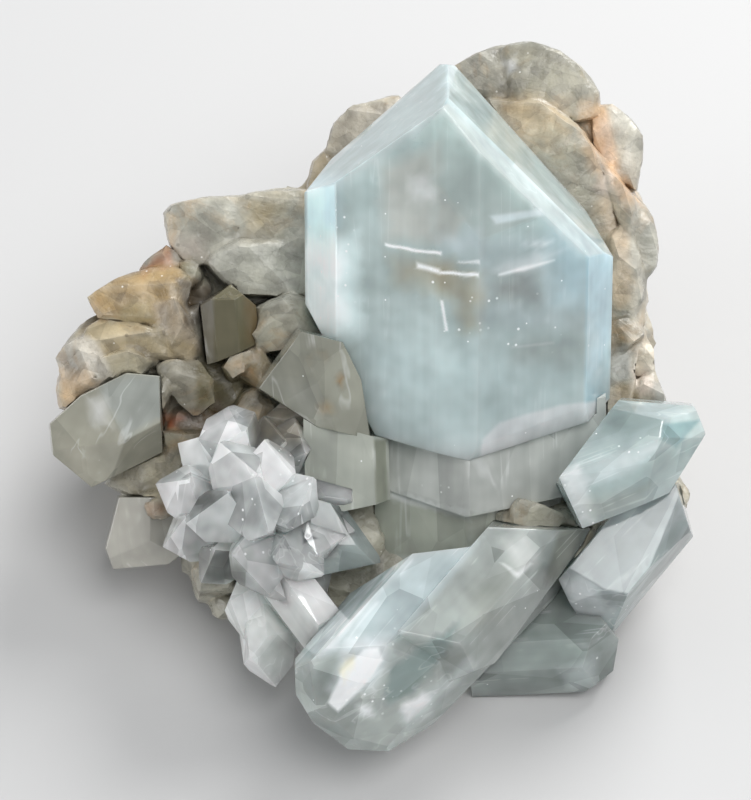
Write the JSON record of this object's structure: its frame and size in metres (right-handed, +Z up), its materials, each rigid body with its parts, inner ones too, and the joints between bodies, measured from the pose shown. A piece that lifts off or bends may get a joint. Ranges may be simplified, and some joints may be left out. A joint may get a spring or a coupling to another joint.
{
  "type": "topaz crystal specimen on feldspar",
  "caption": "Mineral specimen: a large clear pale blue topaz crystal on brown feldspar rock, with smaller topaz and quartz crystals around its foot.",
  "frame": {"origin": "middle of the specimen's bounding box, on the cut base it rests on", "axes": "+Z up, +X to the right of the front view, +Y from the front topaz to the back of the rock, which is the longest way"},
  "size_m": [0.0758, 0.0882, 0.0601],
  "materials": {
    "blue_topaz": "clear pale blue crystal with glossy faces",
    "front_topaz": "clear to milky crystal with glossy faces",
    "right_topaz": "clear blue-grey crystal",
    "lower_right_topaz": "clear grey crystal",
    "corner_topaz": "dark teal-grey crystal",
    "wing_topaz": "clear pale teal crystal",
    "clear_quartz": "clear colourless crystal",
    "lower_left_quartz": "clear colourless crystal",
    "milky_quartz": "milky crystal",
    "clouded_quartz": "clouded grey crystal",
    "pedestal_quartz": "clouded grey crystal",
    "grey_quartz": "clouded grey crystal with brown inclusions",
    "block_quartz": "clouded grey-green crystal",
    "small_quartz": "clouded grey crystal",
    "feldspar": "rough tan and grey-green feldspar with iron stains"
  },
  "bodies": {
    "root": {"main_topaz": "blue_topaz", "front_topaz": "front_topaz", "right_topaz": "right_topaz", "lower_right_topaz": "lower_right_topaz", "corner_topaz": "corner_topaz", "wing_crystal": "wing_topaz", "sparkling_cluster": "clear_quartz", "lower_left_crystals": "lower_left_quartz", "left_crystal": "milky_quartz", "low_left_crystal": "clouded_quartz", "pedestal_crystal": "pedestal_quartz", "grey_crystal": "grey_quartz", "block_crystal": "block_quartz", "small_grey_prism": "small_quartz", "feldspar_matrix": "feldspar"}
  },
  "joints": []
}
